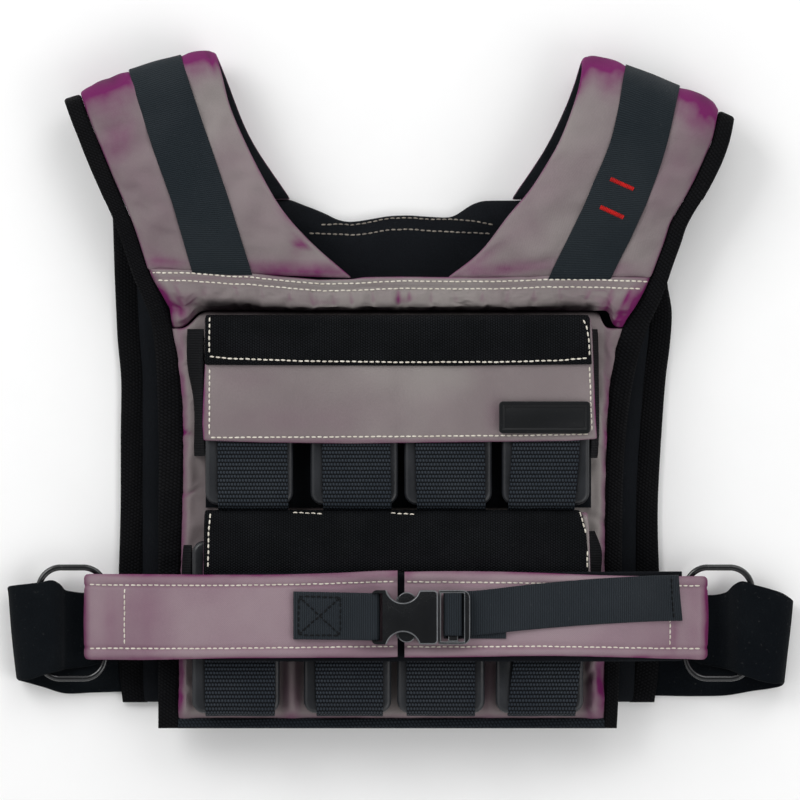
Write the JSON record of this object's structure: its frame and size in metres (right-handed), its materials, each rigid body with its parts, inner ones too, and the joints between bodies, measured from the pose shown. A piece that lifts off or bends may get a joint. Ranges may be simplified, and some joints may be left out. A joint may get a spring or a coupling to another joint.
{
  "type": "weighted vest",
  "caption": "Padded training vest lying on its back: folded shoulder straps, pocket rows with iron blocks under flaps, and a belt with a fastened side-release buckle.",
  "frame": {"origin": "on the floor under the middle of the back panel, on the vest's centre line", "axes": "+X to the right as seen from the front, towards the belt's free end; +Y from the belt to the shoulders; +Z out of the front, up from the floor"},
  "size_m": [0.6306, 0.532, 0.0835],
  "materials": {
    "grey_cloth": "woven nylon, grey with a purple sheen at the folds",
    "belt_cloth": "woven nylon, mauve grey, padded",
    "black_cloth": "matt black woven cloth",
    "edge_tape": "ribbed black edge tape",
    "webbing": "ribbed dark blue-grey webbing",
    "hook_fabric": "black hook-and-loop fabric, no shine",
    "cast_iron": "black lacquered iron, half gloss",
    "buckle_plastic": "black moulded plastic, satin",
    "ring_metal": "black coated steel wire, gloss",
    "patch_rubber": "bare black moulded rubber, matt"
  },
  "bodies": {
    "root": {"back_panel": "black_cloth", "back_binding_left": "edge_tape", "back_binding_right": "edge_tape", "front_panel": "grey_cloth", "front_binding_left": "edge_tape", "front_binding_right": "edge_tape", "front_binding_bottom": "edge_tape", "chest_band": "grey_cloth", "shoulder_pad_left": "grey_cloth", "shoulder_pad_right": "grey_cloth", "shoulder_binding_left": "edge_tape", "shoulder_binding_right": "edge_tape", "shoulder_webbing_left": "webbing", "shoulder_webbing_right": "webbing", "upper_backing": "black_cloth", "weight_1": "cast_iron", "weight_2": "cast_iron", "weight_3": "cast_iron", "weight_4": "cast_iron", "weight_5": "cast_iron", "weight_6": "cast_iron", "weight_7": "cast_iron", "weight_8": "cast_iron", "weight_loop_1": "webbing", "weight_loop_2": "webbing", "weight_loop_3": "webbing", "weight_loop_4": "webbing", "weight_loop_5": "webbing", "weight_loop_6": "webbing", "weight_loop_7": "webbing", "weight_loop_8": "webbing", "upper_flap": "grey_cloth", "upper_flap_band": "hook_fabric", "lower_flap": "grey_cloth", "lower_flap_band": "hook_fabric", "upper_tab_left": "webbing", "upper_tab_right": "webbing", "lower_tab_left": "webbing", "lower_tab_right": "webbing", "label_patch": "patch_rubber", "belt_left": "belt_cloth", "belt_right": "belt_cloth", "belt_backing": "black_cloth", "buckle_socket": "buckle_plastic", "buckle_plug": "buckle_plastic", "buckle_webbing": "webbing", "buckle_tail": "webbing", "ring_left": "ring_metal", "ring_right": "ring_metal", "side_strap_left": "hook_fabric", "side_strap_right": "hook_fabric"}
  },
  "joints": []
}
